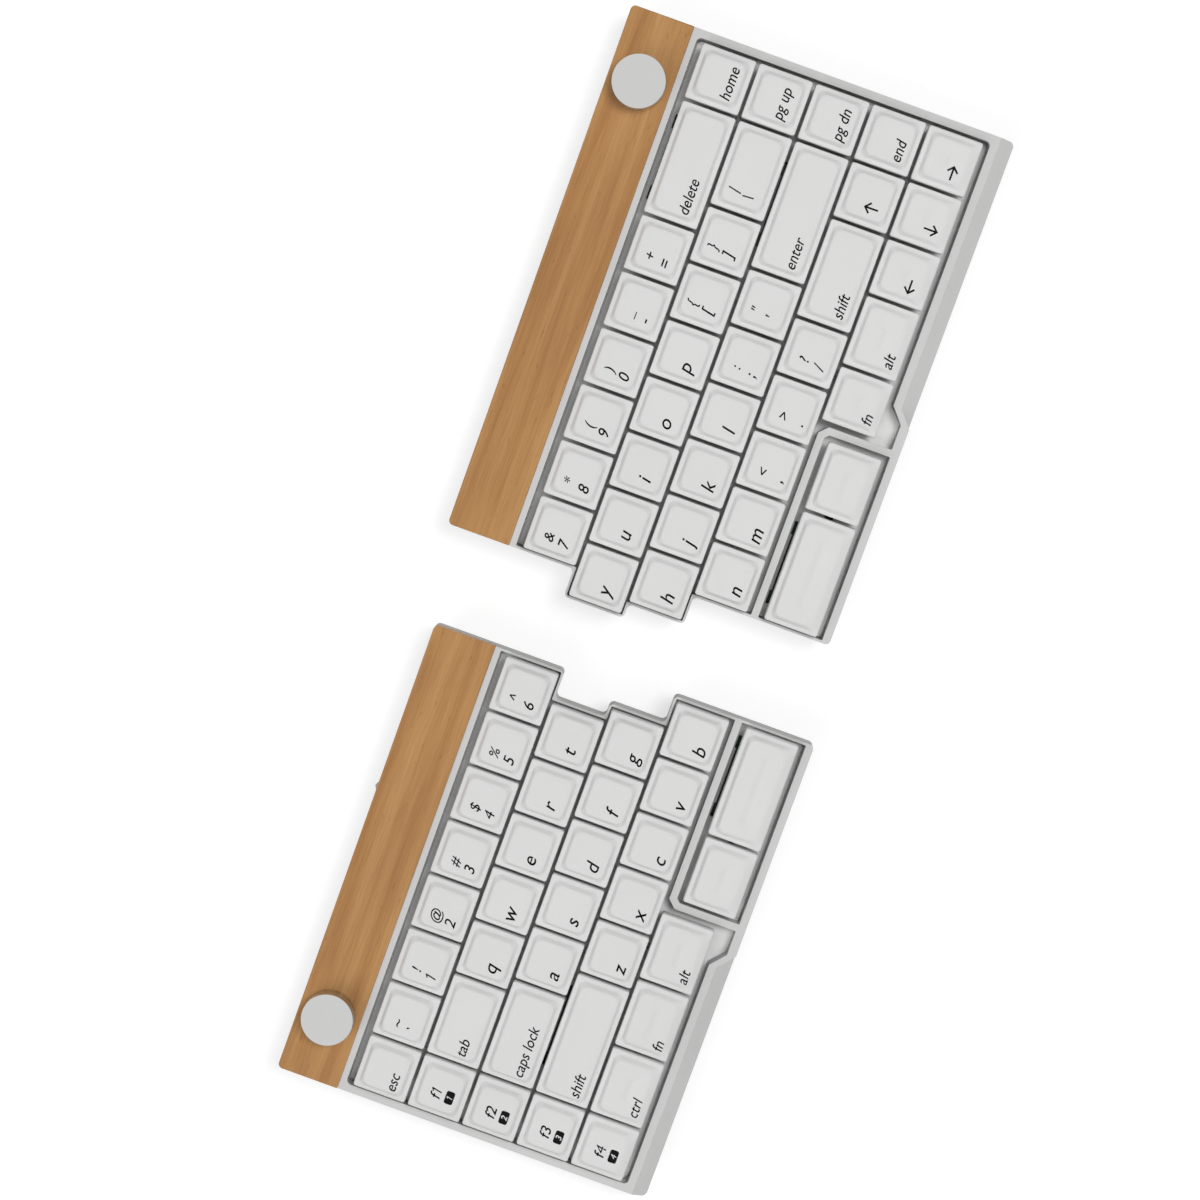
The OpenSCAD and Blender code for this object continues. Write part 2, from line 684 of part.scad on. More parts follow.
// One key: its cap, its switch slider and, on a long key, its stabiliser sliders
module key_piece(key) {
    posts = concat([[0, 0]], stabiliser_places(key));
    difference() {
        union() {
            cap_shell(key[2] * key_pitch - cap_gap, key[1] >= front_row);
            for (p = posts)
                translate(p)
                    bar(boss_d, boss_z, ceiling_z + cut);
        }
        for (p = posts)
            translate(p)
                cross(post_l + 2 * running_gap, post_w + 2 * running_gap, tower_top - cut, ceiling_z);
    }
    block(slider_x, slider_y, tower_top - slider_h, tower_top);
    cross(post_l, post_w, tower_top - cut, tower_top + post_h);
    for (p = stabiliser_places(key))
        translate(p) {
            block(stabiliser_slider_x, stabiliser_slider_y, tower_top - slider_h, tower_top);
            cross(post_l, post_w, tower_top - cut, tower_top + post_h);
        }
}

module keys(half, name) {
    color("whitesmoke")
        stand(half)
            for (row = key_table(half))
                if (row[0] == name)
                    for (key = row[1])
                        translate(key_centre(key))
                            key_piece(key);
}

module battery(half) {
    color("steelblue")
        stand(half)
            translate([mirror_x(half, battery_x), battery_y, 0])
                block(battery_l, battery_w, board_top, plate_top - battery_room);
}

encoder_floor = 0.5;
bushing_drop = 0.5;
module encoder(half) {
    color("dimgray")
        stand(half)
            translate([knob_x[half], knob_y, 0])
                difference() {
                    union() {
                        block(encoder_w, encoder_w, board_top, plate_top - 2 * running_gap);
                        bar(bushing_d, board_top, frame_top - bushing_drop);
                    }
                    bar(shaft_d + 2 * running_gap, board_top + encoder_floor, frame_top);
                }
}

knob_chamfer = 0.4;
knob_crown = 1.6;
bore_top = knob_z + knob_h - knob_crown;
module knob(half) {
    color("lightgray")
        stand(half)
            translate([knob_x[half], knob_y, 0]) {
                rotate_extrude()
                    polygon([[shaft_d / 2 + running_gap, knob_z], [knob_d / 2, knob_z],
                             [knob_d / 2, knob_z + knob_h - knob_chamfer],
                             [knob_d / 2 - knob_chamfer, knob_z + knob_h], [0, knob_z + knob_h],
                             [0, bore_top], [shaft_d / 2 + running_gap, bore_top]]);
                bar(shaft_d, board_top + encoder_floor + running_gap, bore_top - running_gap);
            }
}

port_wall = 0.3;
port_back = 1;
port_recess = 0.4;
tongue_t = 0.7;
tongue_gap = 1.2;
module charging_port(half) {
    tongue_z = port_z + (port_h - tongue_t) / 2;
    color("darkgray")
        stand(half)
            translate([mirror_x(half, port_x), back_y - port_recess - port_l / 2, 0]) {
                difference() {
                    block(port_w, port_l, port_z, port_z + port_h);
                    translate([0, port_back, 0])
                        block(port_w - 2 * port_wall, port_l, port_z + port_wall, port_z + port_h - port_wall);
                }
                translate([0, -port_back / 2, 0])
                    block(port_w - 2 * tongue_gap, port_l - port_back, tongue_z, tongue_z + tongue_t);
            }
}

module mode_switch_body() {
    color("darkgray")
        stand(LEFT)
            translate([mode_x, mode_body_y + mode_body_w / 2, 0])
                block(mode_body_l, mode_body_w, board_top, board_top + mode_body_h);
}

module mode_switch_lever() {
    color("silver")
        stand(LEFT)
            translate([mode_x, 0, 0])
                slab([[-lever_w / 2, mode_body_y + mode_body_w], [lever_w / 2, mode_body_y + mode_body_w],
                      [lever_w / 2, back_y + lever_proud / 3], [0, back_y + lever_proud],
                      [-lever_w / 2, back_y + lever_proud / 3]], lever_z, lever_z + lever_t);
}

module rubber_feet(half) {
    color("black")
        stand(half)
            for (p = feet_places(half))
                translate(p)
                    bar(foot_d, 0, tray_z + foot_seat);
}

module case_screws(half) {
    color("slategray")
        stand(half) {
            for (p = plate_screws(half))
                translate(p)
                    screw(plate_top - running_gap);
            for (p = frame_screws(half))
                translate(p)
                    screw(plate_top + screw_bite);
        }
}

module screw(tip) {
    bar(head_d, tray_z + running_gap, tray_z + running_gap + head_h);
    bar(screw_d, tray_z + running_gap, tip);
}

half_parts = ["bottom_tray", "top_frame", "wood_strip", "switch_plate", "circuit_board", "switch_housings",
    "battery", "encoder", "knob", "charging_port", "rubber_feet", "case_screws"];
half_names = ["left", "right"];

for (half = [LEFT, RIGHT]) {
    side = half_names[half];
    bottom_tray(half);
    top_frame(half);
    wood_strip(half);
    switch_plate(half);
    circuit_board(half);
    switch_housings(half);
    battery(half);
    encoder(half);
    knob(half);
    charging_port(half);
    rubber_feet(half);
    case_screws(half);
    for (row = key_table(half))
        keys(half, row[0]);
}
mode_switch_body();  // left_mode_switch_body
mode_switch_lever();  // left_mode_switch_lever
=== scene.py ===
"""Looks of an ergonomic split keyboard: caps with legends, wood strips, knobs and a plain studio.

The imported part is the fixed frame. Its lengths are in millimetres here and become metres through
MM, and the studio is in metres. X runs to the typist's right, Y to the back and Z up from the
table.
"""

import json
import math
from typing import NamedTuple

import bmesh
import bpy
from mathutils import Matrix, Vector
from mathutils.bvhtree import BVHTree


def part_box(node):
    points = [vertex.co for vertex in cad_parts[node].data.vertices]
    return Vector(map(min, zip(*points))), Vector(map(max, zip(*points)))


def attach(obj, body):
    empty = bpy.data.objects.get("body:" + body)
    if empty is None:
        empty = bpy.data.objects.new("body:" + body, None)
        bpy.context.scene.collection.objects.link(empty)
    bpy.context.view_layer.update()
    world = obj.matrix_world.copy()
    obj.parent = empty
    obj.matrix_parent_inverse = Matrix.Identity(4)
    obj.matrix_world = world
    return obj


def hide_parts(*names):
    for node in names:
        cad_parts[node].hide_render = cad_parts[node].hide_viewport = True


MM = 0.001
HALVES = ("left", "right")

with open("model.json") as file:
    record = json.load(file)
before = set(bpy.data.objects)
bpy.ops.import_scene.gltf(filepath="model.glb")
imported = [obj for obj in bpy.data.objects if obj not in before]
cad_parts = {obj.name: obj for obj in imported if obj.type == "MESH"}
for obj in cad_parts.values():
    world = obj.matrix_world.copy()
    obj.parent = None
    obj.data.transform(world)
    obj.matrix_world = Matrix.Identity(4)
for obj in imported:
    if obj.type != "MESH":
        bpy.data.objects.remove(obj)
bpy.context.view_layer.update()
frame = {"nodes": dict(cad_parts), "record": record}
cad_nodes = frame["nodes"]
body_of = {
    node: body
    for body, members in frame["record"]["behaviour"]["bodies"].items()
    for node in members
}


# Objects


def add_object(name, data):
    """A new object in the scene."""
    made = bpy.data.objects.new(name, data)
    bpy.context.scene.collection.objects.link(made)
    return made


def mesh_object(name, form, finishes):
    """An object made of a bmesh, which is freed, with a material slot for each finish."""
    mesh = bpy.data.meshes.new(name)
    form.to_mesh(mesh)
    form.free()
    for finish in finishes:
        mesh.materials.append(finish)
    return add_object(name, mesh)


def stand_for(piece, node):
    """Lets a piece ride on a node's body and replace the node."""
    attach(piece, body_of[node])
    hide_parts(node)


# Node trees

WHITE = (1, 1, 1)
# Noise seldom leaves this stretch of its range
NOISE_REACH = (0.3, 0.7)
# A Mix node has a set of sockets for each type of data, and these are the ones for colours
MIX_FACTOR, MIX_FIRST, MIX_SECOND, MIX_RESULT = 0, 6, 7, 2


def add_node(tree, kind, inputs=None, **settings):
    """A new shader node. A socket among the inputs is linked, and a plain value is set."""
    made = tree.nodes.new(kind)
    for name, value in settings.items():
        setattr(made, name, value)
    for name, value in (inputs or {}).items():
        if isinstance(value, bpy.types.NodeSocket):
            tree.links.new(value, made.inputs[name])
        else:
            made.inputs[name].default_value = value
    return made


def noise(tree, lengths, detail=3.0, roughness=0.55, distortion=0.0, offset=(0, 0, 0)):
    """Noise whose features have about these lengths along X, Y and Z."""
    place = add_node(tree, "ShaderNodeTexCoord").outputs["Object"]
    scaled = add_node(
        tree,
        "ShaderNodeMapping",
        {
            "Vector": place,
            "Location": offset,
            "Scale": [1 / (length * MM) for length in lengths],
        },
    )
    texture = add_node(
        tree,
        "ShaderNodeTexNoise",
        {
            "Vector": scaled.outputs["Vector"],
            "Scale": 1.0,
            "Detail": detail,
            "Roughness": roughness,
            "Distortion": distortion,
        },
    )
    return texture.outputs[0]


def ramp(tree, factor, stops):
    """Colours along a factor, from (position, colour) stops."""
    made = add_node(tree, "ShaderNodeValToRGB", {"Fac": factor})
    elements = made.color_ramp.elements
    while len(elements) < len(stops):
        elements.new(0.5)
    for element, (position, colour) in zip(elements, stops):
        element.position = position
        element.color = (*colour, 1)
    return made.outputs["Color"]


def two_tones(tree, factor, low, high):
    """Colours that run from low to high over the reach of noise."""
    return ramp(tree, factor, list(zip(NOISE_REACH, (low, high))))


def spread(tree, factor, low, high):
    """The reach of noise stretched to low..high."""
    made = add_node(
        tree,
        "ShaderNodeMapRange",
        {
            "Value": factor,
            "From Min": NOISE_REACH[0],
            "From Max": NOISE_REACH[1],
            "To Min": low,
            "To Max": high,
        },
    )
    return made.outputs["Result"]


def mix_colours(tree, factor, first, second, blend="MIX"):
    """Two colours mixed by a factor."""
    made = add_node(tree, "ShaderNodeMix", data_type="RGBA", blend_type=blend)
    for number, value in ((MIX_FACTOR, factor), (MIX_FIRST, first), (MIX_SECOND, second)):
        socket = made.inputs[number]
        if isinstance(value, bpy.types.NodeSocket):
            tree.links.new(value, socket)
        else:
            socket.default_value = value if isinstance(value, float) else (*value, 1)
    return made.outputs[MIX_RESULT]


def multiplied(tree, first, second):
    """The product of two colours."""
    return mix_colours(tree, 1.0, first, second, "MULTIPLY")


def shaded(colour, share):
    """A colour made lighter or darker by a share."""
    return tuple(channel * (1 + share) for channel in colour)


def bump(tree, shader, height, depth):
    """Relief of a depth in millimetres."""
    made = add_node(
        tree, "ShaderNodeBump", {"Height": height, "Distance": depth * MM, "Strength": 1.0}
    )
    tree.links.new(made.outputs["Normal"], shader.inputs["Normal"])


# Materials

MOTTLE_LENGTH = 38
GRAIN_SHADE = (0.95, 0.95, 0.95)
RING_SHADE = 0.02
# Roughness strays this far to both sides of its mean
GLOSS_STRAY = 0.05


def new_material(name):
    """A material with its node tree and its shader."""
    material = bpy.data.materials.new(name)
    material.use_nodes = True
    return material, material.node_tree, material.node_tree.nodes["Principled BSDF"]


def uneven_gloss(tree, shader, factor, rough):
    """Roughness that strays from its mean with a factor."""
    strayed = spread(tree, factor, rough - GLOSS_STRAY, rough + GLOSS_STRAY)
    tree.links.new(strayed, shader.inputs["Roughness"])


def moulded(
    name,
    colour,
    rough,
    metallic=0.0,
    grain=0.35,
    relief=0.01,
    mottle=0.03,
    coat=0.0,
    specular=0.5,
):
    """Moulded, painted or blasted material: soft mottling, fine grain and uneven gloss."""
    material, tree, shader = new_material(name)
    cloudy = noise(tree, [MOTTLE_LENGTH] * 3, detail=2)
    fine = noise(tree, [grain] * 3, detail=2)
    tone = two_tones(tree, cloudy, shaded(colour, -mottle), shaded(colour, mottle))
    speck = two_tones(tree, fine, GRAIN_SHADE, WHITE)
    tree.links.new(multiplied(tree, tone, speck), shader.inputs["Base Color"])
    uneven_gloss(tree, shader, fine, rough)
    shader.inputs["Metallic"].default_value = metallic
    shader.inputs["Coat Weight"].default_value = coat
    shader.inputs["Specular IOR Level"].default_value = specular
    bump(tree, shader, fine, relief)
    return material


def turned_metal(name, colour, rough, centres, groove=0.16, relief=0.0012):
    """Metal turned on a lathe: fine rings around the upright axis on each half."""
    material, tree, shader = new_material(name)
    place = add_node(tree, "ShaderNodeTexCoord").outputs["Object"]
    place_x = add_node(tree, "ShaderNodeSeparateXYZ", {"Vector": place}).outputs["X"]
    left, right = (Vector(centre) for centre in centres)
    middle = (left.x + right.x) / 2
    on_right = add_node(
        tree, "ShaderNodeMath", {0: place_x, 1: middle}, operation="GREATER_THAN"
    ).outputs[0]
    axis = mix_colours(tree, on_right, tuple(left), tuple(right))
    arm = add_node(
        tree, "ShaderNodeVectorMath", {0: place, 1: axis}, operation="SUBTRACT"
    ).outputs[0]
    flat = add_node(
        tree, "ShaderNodeVectorMath", {0: arm, 1: (1, 1, 0)}, operation="MULTIPLY"
    ).outputs[0]
    radius = add_node(
        tree, "ShaderNodeVectorMath", {0: flat}, operation="LENGTH"
    ).outputs["Value"]
    rings = add_node(
        tree,
        "ShaderNodeTexNoise",
        {"W": radius, "Scale": 1 / (groove * MM), "Detail": 2.0},
        noise_dimensions="1D",
    ).outputs[0]
    tone = two_tones(tree, rings, shaded(colour, -RING_SHADE), shaded(colour, RING_SHADE))
    tree.links.new(tone, shader.inputs["Base Color"])
    uneven_gloss(tree, shader, rings, rough)
    shader.inputs["Metallic"].default_value = 1.0
    bump(tree, shader, rings, relief)
    return material


WOOD_LIGHT = (0.56, 0.315, 0.128)
WOOD_MIDDLE = (0.465, 0.243, 0.089)
WOOD_DARK = (0.365, 0.170, 0.056)
FLECK_COLOUR = (0.24, 0.075, 0.022)
# Positions and colours along the noise of each feature. Pores and patches tint the bands, and
# flecks cover them by a share.
BAND_STOPS = [(0.28, WOOD_DARK), (0.5, WOOD_MIDDLE), (0.74, WOOD_LIGHT)]
PORE_STOPS = [(0.32, (0.87, 0.84, 0.81)), (0.6, (1.02, 1.02, 1.02))]
PATCH_STOPS = [(0.3, (0.90, 0.88, 0.86)), (0.7, (1.06, 1.05, 1.03))]
FLECK_STOPS = [(0.70, (0, 0, 0)), (0.80, (0.55, 0.55, 0.55))]
# Lengths of the features along X, Y and Z
BAND_LENGTHS = (170, 7, 7)
PORE_LENGTHS = (16, 0.45, 0.45)
FLECK_LENGTHS = (4.5, 0.7, 0.7)
PATCH_LENGTHS = (60, 22, 22)
PORE_DEPTH = 0.02
# Roughness in the pores and between them
WOOD_ROUGH = (0.5, 0.38)


def oiled_wood(name):
    """Close-grained wood with its grain along X: drifting bands, fine pores and short flecks."""
    material, tree, shader = new_material(name)
    bands = noise(tree, BAND_LENGTHS, detail=4, roughness=0.6, distortion=0.6)
    pores = noise(tree, PORE_LENGTHS, detail=3, roughness=0.6)
    flecks = noise(tree, FLECK_LENGTHS, detail=1, offset=(3, 5, 7))
    patches = noise(tree, PATCH_LENGTHS, detail=2, offset=(11, 2, 4))
    grained = multiplied(tree, ramp(tree, bands, BAND_STOPS), ramp(tree, pores, PORE_STOPS))
    patched = multiplied(tree, grained, ramp(tree, patches, PATCH_STOPS))
    flecked = mix_colours(tree, ramp(tree, flecks, FLECK_STOPS), patched, FLECK_COLOUR)
    tree.links.new(flecked, shader.inputs["Base Color"])
    tree.links.new(spread(tree, pores, *WOOD_ROUGH), shader.inputs["Roughness"])
    bump(tree, shader, pores, PORE_DEPTH)
    return material


def axis_point(node):
    """The middle of a node's box in plan, at table height, in metres."""
    low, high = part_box(node)
    return ((low.x + high.x) / 2, (low.y + high.y) / 2, 0)


CAP_COLOUR = (0.785, 0.785, 0.78)
INK_COLOUR = (0.006, 0.006, 0.006)
FRAME_COLOUR = (0.67, 0.67, 0.665)
TRAY_COLOUR = (0.56, 0.56, 0.555)
PLATE_COLOUR = (0.88, 0.88, 0.875)
KNOB_COLOUR = (0.60, 0.60, 0.595)
knob_axes = [axis_point(f"{half}_knob") for half in HALVES]
# One material for each slot
materials = {
    "keycap": moulded("cap_plastic", CAP_COLOUR, 0.5, grain=0.28, relief=0.008, mottle=0.012),
    "legend": moulded("legend_ink", INK_COLOUR, 0.7, grain=0.2, relief=0.002, specular=0.1),
    "slider": moulded("slider_plastic", (0.42, 0.16, 0.09), 0.42, grain=0.3, relief=0.004),
    "frame": moulded("frame_satin", FRAME_COLOUR, 0.55, grain=0.22, relief=0.006, specular=0.12),
    "tray": moulded("tray_satin", TRAY_COLOUR, 0.55, grain=0.22, relief=0.006, specular=0.12),
    "wood": oiled_wood("strip_wood"),
    "plate": moulded("plate_blasted", PLATE_COLOUR, 0.5, grain=0.3, relief=0.008),
    "board": moulded(
        "board_lacquer", (0.012, 0.075, 0.035), 0.35, grain=1.2, relief=0.006, coat=0.3
    ),
    "housing": moulded("housing_nylon", (0.035, 0.035, 0.037), 0.5, grain=0.3, relief=0.006),
    "battery": moulded(
        "battery_foil", (0.36, 0.38, 0.42), 0.35, metallic=0.7, grain=2.5, relief=0.03
    ),
    "encoder": moulded("encoder_shell", (0.30, 0.30, 0.31), 0.38, metallic=0.8, grain=0.5),
    "knob": turned_metal("knob_metal", KNOB_COLOUR, 0.3, knob_axes),
    "port": moulded(
        "port_steel", (0.52, 0.52, 0.53), 0.25, metallic=1.0, grain=0.6, relief=0.003
    ),
    "lever": moulded("lever_plastic", (0.55, 0.55, 0.545), 0.45, grain=0.3),
    "feet": moulded("feet_rubber", (0.022, 0.022, 0.022), 0.75, grain=0.4, relief=0.02),
    "screw": moulded(
        "screw_steel", (0.20, 0.20, 0.21), 0.32, metallic=1.0, grain=0.4, relief=0.004
    ),
}


# Keycaps

CAP_GAP = 0.95
# Inset from the outline, corner radius and height above the shoulder, from the skirt's foot up
CAP_PROFILE = [
    (1.30, 0.5, -4.00),
    (0.14, 0.6, -4.00),
    (0.00, 0.7, -3.86),
    (0.12, 0.75, -0.30),
    (0.19, 0.8, -0.06),
    (0.34, 0.85, 0.09),
    (0.60, 1.0, 0.20),
    (1.30, 1.6, 0.45),
    (1.50, 1.8, 0.56),
    (1.62, 1.95, 0.70),
    (2.30, 2.55, 2.05),
    (2.42, 2.65, 2.21),
    (2.60, 2.75, 2.36),
    (2.90, 2.8, 2.45),
    (3.70, 2.7, 2.50),
    (4.80, 2.3, 2.46),
    (6.00, 1.7, 2.39),
    (7.40, 1.0, 2.33),
    (8.40, 0.4, 2.30),
]
CAP_RISE = 2.5
# The same for the ceiling inside the cap, and the rings of the flat foot that follow it
CEILING = (2.9, 0.5, 0.85)
FOOT_RINGS = slice(1, 3)
# A cap of the front row runs smoothly down to its front edge. Each stop has the inset of a ring at
# the other sides, and then its inset and rise at the front. Rings past the last stop only drop.
SMOOTH_STOPS = [(0.12, 0.12, -0.30), (0.34, 0.2, 0.05), (1.45, 0.45, 0.36), (2.90, 2.80, 1.66)]
SMOOTH_DROP = 0.8
CORNER_STEPS = 5
# Each half side of a rounded ring stays straight for at least this length
STRAIGHT_LEFT = 0.01


def rounded_ring(x_low, x_high, y_low, y_high, radius):
    """Points of a rounded rectangle, counter-clockwise from its right side."""
    radius = min(
        radius, (x_high - x_low) / 2 - STRAIGHT_LEFT, (y_high - y_low) / 2 - STRAIGHT_LEFT
    )
    corners = (
        (x_high - radius, y_high - radius, 0),
        (x_low + radius, y_high - radius, 90),
        (x_low + radius, y_low + radius, 180),
        (x_high - radius, y_low + radius, 270),
    )
    points = []
    for x, y, start in corners:
        for step in range(CORNER_STEPS + 1):
            angle = math.radians(start + 90 * step / CORNER_STEPS)
            points.append((x + radius * math.cos(angle), y + radius * math.sin(angle)))
    return points


def smooth_front(inset, rise):
    """Inset and rise of a ring at the front of a cap with a smooth front."""
    if inset > SMOOTH_STOPS[-1][0]:
        return inset, rise - SMOOTH_DROP
    if inset < SMOOTH_STOPS[0][0] or rise < SMOOTH_STOPS[0][2]:
        return inset, rise
    for low, high in zip(SMOOTH_STOPS, SMOOTH_STOPS[1:]):
        if inset <= high[0]:
            share = (inset - low[0]) / (high[0] - low[0])
            return tuple(a + (b - a) * share for a, b in zip(low[1:], high[1:]))


def cap_ring(form, width, depth, shoulder, row, front):
    """The points of one row of the profile, whose front has an inset and a rise of its own."""
    inset, radius, rise = row
    front_inset, front_rise = front
    y_high, y_low = depth / 2 - inset, front_inset - depth / 2
    ring = []
    for x, y in rounded_ring(inset - width / 2, width / 2 - inset, y_low, y_high, radius):
        share = (y - y_low) / (y_high - y_low)
        z = shoulder + front_rise + (rise - front_rise) * share
        ring.append(form.verts.new(Vector((x, y, z)) * MM))
    return ring


def cap_form(width, depth, shoulder, is_smooth):
    """A keycap around the origin in plan, in metres, as a bmesh."""
    form = bmesh.new()
    rings = [cap_ring(form, width, depth, shoulder, CEILING, (CEILING[0], CEILING[2]))]
    for row in CAP_PROFILE:
        inset, _, rise = row
        front = smooth_front(inset, rise) if is_smooth else (inset, rise)
        rings.append(cap_ring(form, width, depth, shoulder, row, front))
    form.faces.new(reversed(rings[0]))
    for low, high in zip(rings, rings[1:]):
        for i, vertex in enumerate(low):
            j = (i + 1) % len(low)
            form.faces.new((vertex, low[j], high[j], high[i]))
    form.faces.new(rings[-1])
    bmesh.ops.recalc_face_normals(form, faces=form.faces)
    for face in form.faces:
        face.smooth = True
    foot = {vertex for ring in rings[FOOT_RINGS] for vertex in ring}
    for edge in form.edges:
        if set(edge.verts) <= foot:
            edge.smooth = False
    return form


# Legends

LETTER_SIZE = 6.5
DIGIT_SIZE = 5.2
SYMBOL_SIZE = 4.7
WORD_SIZE = 5.1
# Words are drawn narrower than in the built-in font
WORD_WIDTH = 0.92
SLANT = 0.22
# Strokes are widened by this on each side, but not in a sign with a small hole
WEIGHT = 0.04
FULL_SIGNS = "4"
CURVE_STEPS = 4
# Points of a glyph that are closer than this are one
GLYPH_WELD = 0.001
# Longest edge of a legend's mesh, and how often its edges are halved at most
INK_MESH = 0.6
INK_PASSES = 4
# Legends are dropped onto a cap from a height, and stay this far above its surface
INK_SKY = 50
INK_RISE = 0.025

# Places of the legends, from a cap's left edge and from its middle
LETTER_X = 5.3
WORD_X = 2.9
# Baselines for the key rows from the back to the front
BASELINES = (-4.9, -3.6, -4.5, -5.1, -6.3)
SYMBOL_SHIFT = 0.9
SYMBOL_LIFT = 5.4
FUNCTION_LETTER = (6.4, -0.4)
FUNCTION_DIGIT = (8.4, -0.4)
PILL_PLACE = (7.7, -3.4)
PILL_SIZE = (4.4, 2.9)
PILL_RADIUS = 0.7
NUMBER_PLACE = (7.5, -4.4)
NUMBER_SIZE = 2.9
ARROW_X = 5.9
ARROW_LIFT = 3.6
# Half of an arrow's length, half of its head's width and the width of its stroke
ARROW_REACH = 2.4
ARROW_HEAD = 1.9
ARROW_STROKE = 0.6


class Mark(NamedTuple):
    """Flat faces on a cap, with their place, their slot and how many marks lie under them."""

    points: list
    faces: list
    x: float
    y: float
    slot: str = "legend"
    layer: int = 0


def fine_faces(form):
    """Points and faces of a flat form, cut small enough to follow a curved cap."""
    for _ in range(INK_PASSES):
        bmesh.ops.triangulate(form, faces=form.faces)
        long_edges = [edge for edge in form.edges if edge.calc_length() > INK_MESH]
        if not long_edges:
            break
        bmesh.ops.subdivide_edges(form, edges=long_edges, cuts=1)
    bmesh.ops.triangulate(form, faces=form.faces)
    form.verts.index_update()
    points = [(vertex.co.x, vertex.co.y) for vertex in form.verts]
    faces = {frozenset(vertex.index for vertex in face.verts) for face in form.faces}
    form.free()
    return points, [tuple(corners) for corners in sorted(faces, key=sorted)]


def glyphs(text, size, align, width=1.0):
    """A text as flat faces on the plan: lists of points and of faces, in millimetres."""
    curve = bpy.data.curves.new("legend", "FONT")
    curve.body = text
    curve.size = size
    curve.shear = SLANT
    curve.offset = 0 if text in FULL_SIGNS else WEIGHT
    curve.fill_mode = "FRONT"
    curve.align_x = align
    curve.resolution_u = CURVE_STEPS
    holder = add_object("legend", curve)
    bpy.context.view_layer.update()
    form = bmesh.new()
    form.from_mesh(holder.evaluated_get(bpy.context.evaluated_depsgraph_get()).to_mesh())
    bmesh.ops.remove_doubles(form, verts=form.verts, dist=GLYPH_WELD)
    bmesh.ops.scale(form, verts=form.verts, vec=(width, 1, 1))
    bpy.data.objects.remove(holder)
    bpy.data.curves.remove(curve)
    return fine_faces(form)


def patch(outline):
    """A flat face with this outline, as points and faces."""
    form = bmesh.new()
    form.faces.new([form.verts.new((x, y, 0)) for x, y in outline]).normal_update()
    return fine_faces(form)


def numeral_one(size):
    """A slanted numeral 1 with a flag, centred on its stem, from shares of its size."""
    stem, height = 0.045, 0.685
    flag = [(-0.035, height), (-0.185, 0.575), (-0.145, 0.5), (-stem, 0.57)]
    outline = [(-stem, 0), (stem, 0), (stem, height), *flag]
    return patch([((x + SLANT * y) * size, y * size) for x, y in outline])


def pill():
    """The black field behind a small number."""
    x, y = PILL_SIZE[0] / 2, PILL_SIZE[1] / 2
    return patch(rounded_ring(-x, x, -y, y, PILL_RADIUS))


def arrow(turn):
    """A plain arrow, turned by an angle in degrees from pointing right."""
    arm = ARROW_STROKE / math.sqrt(2)
    half_stroke = ARROW_STROKE / 2
    neck = ARROW_REACH - 2 * arm - half_stroke
    barb = ARROW_REACH - ARROW_HEAD
    outline = [
        (-ARROW_REACH, -half_stroke),
        (neck, -half_stroke),
        (barb - arm, arm - ARROW_HEAD),
        (barb, -ARROW_HEAD),
        (ARROW_REACH, 0),
        (barb, ARROW_HEAD),
        (barb - arm, ARROW_HEAD - arm),
        (neck, half_stroke),
        (-ARROW_REACH, half_stroke),
    ]
    turned = Matrix.Rotation(math.radians(turn), 2)
    return patch([tuple(turned @ Vector(point)) for point in outline])


def sign(text, size):
    """One character, centred."""
    return numeral_one(size) if text == "1" else glyphs(text, size, "CENTER")


def letter(text, row):
    """The mark of a key with one character."""
    size = LETTER_SIZE if text.isalpha() else DIGIT_SIZE
    return [Mark(*sign(text, size), LETTER_X, BASELINES[row])]


def pair(text, row):
    """The marks of a key with a symbol over the character that it gives unshifted."""
    above, below = text
    symbol = sign(above, SYMBOL_SIZE)
    lifted = Mark(*symbol, LETTER_X + SYMBOL_SHIFT, BASELINES[row] + SYMBOL_LIFT)
    return [lifted, *letter(below, row)]


def word(text, row):
    """The mark of a key with a word."""
    return [Mark(*glyphs(text, WORD_SIZE, "LEFT", WORD_WIDTH), WORD_X, BASELINES[row])]


def function_key(number):
    """The marks of a function key, with a numbered black field in front of its name."""
    return [
        Mark(*sign("f", WORD_SIZE), *FUNCTION_LETTER),
        Mark(*sign(str(number), WORD_SIZE), *FUNCTION_DIGIT),
        Mark(*pill(), *PILL_PLACE),
        Mark(*sign(str(number), NUMBER_SIZE), *NUMBER_PLACE, slot="keycap", layer=1),
    ]


def arrow_key(turn, row):
    """The mark of a key with an arrow."""
    return [Mark(*arrow(turn), ARROW_X, BASELINES[row] + ARROW_LIFT)]


def letters(texts, row):
    """The marks of a row of keys that have one character or a pair of them each."""
    return [pair(text, row) if len(text) == 2 else letter(text, row) for text in texts]


